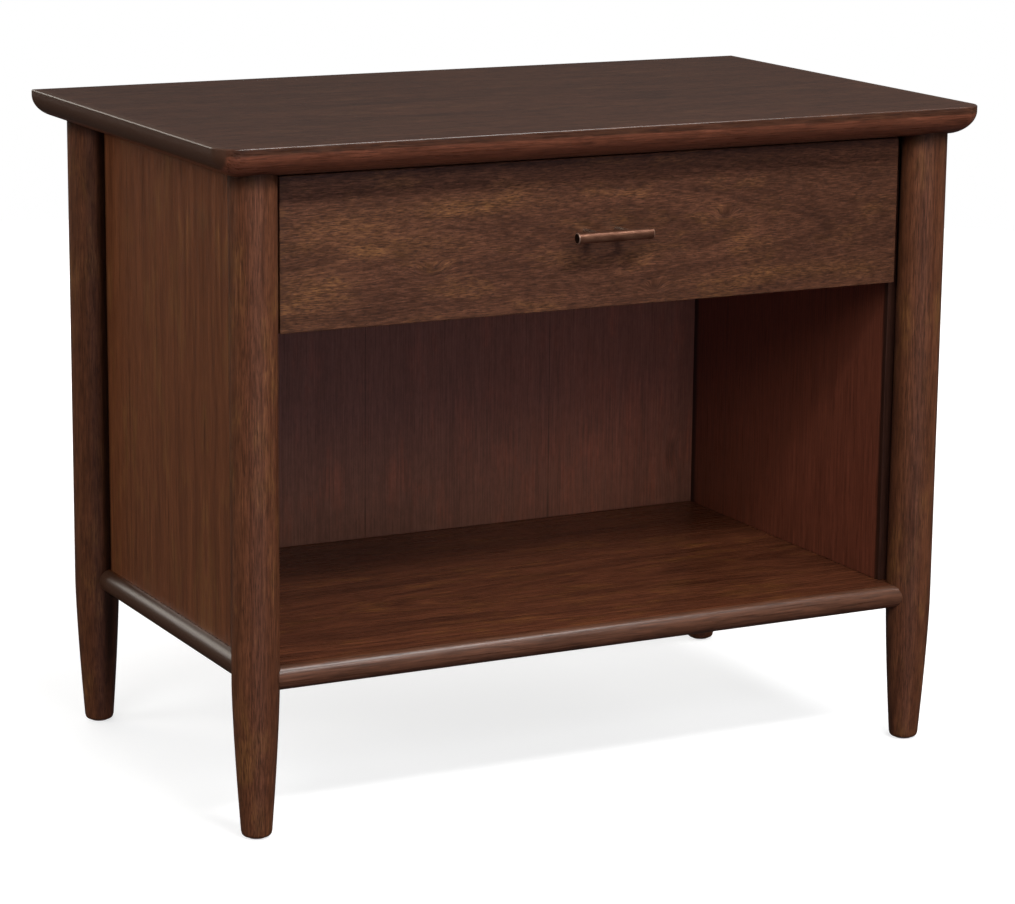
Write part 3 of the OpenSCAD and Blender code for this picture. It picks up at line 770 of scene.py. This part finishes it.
def bar_profile():
    """Distance along the bar and radius, with both rims rounded."""
    rim = [math.radians(90 * k / BAR_STEPS) for k in range(BAR_STEPS + 1)]
    end = [(EASE_BAR * (1 - math.cos(t)), BAR_R - EASE_BAR * (1 - math.sin(t))) for t in rim]
    return [(bar_low.x + t, r) for t, r in end] + [(bar_high.x - t, r) for t, r in reversed(end)]


def on_bar(t, r, angle):
    return t, BAR_Y + r * math.cos(angle), BAR_Z + r * math.sin(angle)


shape = turned(bar_profile(), on_bar, BAR_AROUND)
piece("bronze_bar", shape, "drawer", "handle_bronze", handle_bronze, "handle_bar")


def both_posts():
    """Two posts, each scribed to the back of the bar and standing on the drawer front."""
    both = bmesh.new()
    for centre in (posts_low.x + POST_R, posts_high.x - POST_R):

        def on_post(t, r, angle, cx=centre):
            dz = r * math.sin(angle)
            y = BAR_Y + math.sqrt(BAR_R**2 - dz**2) if t is None else t
            return cx + r * math.cos(angle), y, BAR_Z + dz

        one = turned([(None, POST_R), (front_low.y, POST_R)], on_post, POST_AROUND)
        spare = bpy.data.meshes.new("post")
        one.to_mesh(spare)
        both.from_mesh(spare)
        one.free()
        bpy.data.meshes.remove(spare)
    return both


piece("bronze_posts", both_posts(), "drawer", "post_metal", post_metal, "handle_posts")


# ---------- CAD nodes that stay ----------

SLOT_MATERIALS = {
    "box_wood": box_wood,
    "frame_wood": frame_wood,
    "slide_steel": slide_steel,
    "cage_steel": cage_steel,
    "screw_steel": screw_steel,
    "glide_nylon": glide_nylon,
    "bumper_rubber": bumper_rubber,
}
NODE_MATERIALS = {
    "box_front": box_end_wood,
    "box_back": box_end_wood,
    "box_bottom": box_bottom_wood,
    "cleat_left": cleat_wood,
    "cleat_right": cleat_wood,
}
node_slots = {part["node"]: part["material_slot"] for part in frame["record"]["subparts"]}
for node, obj in frame["nodes"].items():
    if node_slots[node] in SLOT_MATERIALS:
        obj.data.materials.clear()
        obj.data.materials.append(NODE_MATERIALS.get(node, SLOT_MATERIALS[node_slots[node]]))


# ---------- studio ----------

FLOOR_R = 3.2
DOME_R = 18.0
PAPER = 0.42                  # grey of the floor's paper where a light falls on it
GLOW_NEAR, GLOW_FAR = 0.68, 1.0
GLOW_START, GLOW_END = 0.7, 2.2
WHITE = (1.0, 1.0, 1.0, 1.0)


def stage_object(name, bm, material):
    """A floor or backdrop that only the camera sees: it throws no light, reflection or shadow."""
    obj = new_object(name, bm)
    obj.data.materials.append(material)
    obj.visible_glossy = False
    obj.visible_diffuse = False
    obj.visible_shadow = False


def floor_paper():
    """White paper that shines a little by itself, more so further out, and shows the shadows."""
    g = Graph("floor_paper")
    place = g.node("TexCoord", {}).outputs["Object"]
    out = g.node("VectorMath", {0: place}, operation="LENGTH").outputs["Value"]
    strength = g.span(out, GLOW_START, GLOW_END, GLOW_NEAR, GLOW_FAR)
    glow = g.node("Emission", {"Color": WHITE, "Strength": strength})
    paper = g.node("BsdfDiffuse", {"Color": (PAPER, PAPER, PAPER, 1.0)})
    both = g.node("AddShader", {0: glow.outputs[0], 1: paper.outputs[0]})
    g.node("OutputMaterial", {0: both.outputs[0]})
    return g.material


def dome_paper():
    g = Graph("dome_paper")
    glow = g.node("Emission", {"Color": WHITE, "Strength": 1.0})
    g.node("OutputMaterial", {0: glow.outputs[0]})
    return g.material


floor_shape = bmesh.new()
bmesh.ops.create_circle(floor_shape, cap_ends=True, segments=96, radius=FLOOR_R)
stage_object("floor", floor_shape, floor_paper())
dome_shape = bmesh.new()
bmesh.ops.create_uvsphere(dome_shape, u_segments=48, v_segments=24, radius=DOME_R)
stage_object("dome", dome_shape, dome_paper())

AIM = Vector((0.0, 0.0, HEIGHT / 2))


def softbox(name, azimuth, elevation, distance, size, power, tint=(1.0, 1.0, 1.0), gloss=True):
    """A rectangular soft light; azimuth 0 is straight in front, positive to the right.
    A light without gloss leaves no highlight on the lacquer."""
    a, e = math.radians(azimuth), math.radians(elevation)
    out = Vector((math.sin(a) * math.cos(e), -math.cos(a) * math.cos(e), math.sin(e)))
    lamp = bpy.data.lights.new(name, "AREA")
    lamp.shape = "RECTANGLE"
    lamp.size, lamp.size_y = size
    lamp.energy = power
    lamp.color = tint
    obj = bpy.data.objects.new(name, lamp)
    obj.location = AIM + out * distance
    obj.rotation_euler = out.to_track_quat("Z", "Y").to_euler()
    obj.visible_camera = False
    obj.visible_glossy = gloss
    bpy.context.scene.collection.objects.link(obj)


softbox("key", 3, 48, 2.6, (1.1, 0.28), 47)
softbox("mid_fill", 4, 30, 2.8, (1.8, 0.5), 19, gloss=False)
softbox("front_fill", 2, 13, 2.8, (2.2, 1.3), 11, (0.98, 0.93, 1.0), gloss=False)
softbox("low_fill", -10, -12, 2.6, (2.4, 0.8), 13, (0.93, 0.76, 1.0), gloss=False)
softbox("left_front", -52, 27, 2.6, (1.0, 1.0), 22, gloss=False)
softbox("left_fill", -104, 14, 2.6, (1.2, 1.0), 21, gloss=False)
softbox("right_fill", 82, 18, 2.6, (1.2, 1.2), 20, gloss=False)
softbox("back_fill", 172, 16, 2.8, (1.6, 1.0), 26, gloss=False)
softbox("overhead", 60, 66, 2.2, (0.9, 0.7), 24)
softbox("rear", -157, 21, 3.0, (1.5, 1.2), 22, (1.0, 0.95, 0.86))

# Light from all round: height from straight below (0) to straight above (1), and grey level
WORLD_LEVELS = ((0.0, 0.02), (0.46, 0.03), (0.56, 0.06), (0.75, 0.14), (1.0, 0.22))


def studio_world():
    """A world in grey levels that change with height."""
    world = bpy.data.worlds.new("studio")
    world.use_nodes = True
    tree = world.node_tree
    place = tree.nodes.new("ShaderNodeTexCoord")
    split = tree.nodes.new("ShaderNodeSeparateXYZ")
    rise = tree.nodes.new("ShaderNodeMapRange")
    rise.inputs["From Min"].default_value = -1.0
    ramp = tree.nodes.new("ShaderNodeValToRGB")
    tree.links.new(place.outputs["Generated"], split.inputs[0])
    tree.links.new(split.outputs[2], rise.inputs["Value"])
    tree.links.new(rise.outputs[0], ramp.inputs[0])
    while len(ramp.color_ramp.elements) < len(WORLD_LEVELS):
        ramp.color_ramp.elements.new(0.5)
    for element, (position, level) in zip(ramp.color_ramp.elements, WORLD_LEVELS):
        element.position = position
        element.color = (level, level, level, 1.0)
    tree.links.new(ramp.outputs[0], tree.nodes["Background"].inputs["Color"])
    return world


bpy.context.scene.world = studio_world()

view = bpy.context.scene.view_settings
view.view_transform = "Standard"
view.look = "None"

# ---------- camera ----------

# Fitted to the photo; the angles are in radians, the sensor and lens in millimetres
CAMERA_PLACE = (-1.47416, -2.84904, 1.00064)
CAMERA_YAW = -0.4791
CAMERA_PITCH = 0.2231
CAMERA_ROLL = 0.0101
SENSOR_WIDTH = 36.0
LENS = 122.93

camera_data = bpy.data.cameras.new("camera")
camera_data.sensor_width = SENSOR_WIDTH
camera_data.lens = LENS
camera = bpy.data.objects.new("camera", camera_data)
bpy.context.scene.collection.objects.link(camera)
aim = Matrix.Rotation(CAMERA_YAW, 4, "Z") @ Matrix.Rotation(math.pi / 2 - CAMERA_PITCH, 4, "X")
camera.matrix_world = Matrix.Translation(CAMERA_PLACE) @ aim @ Matrix.Rotation(CAMERA_ROLL, 4, "Z")
bpy.context.scene.camera = camera
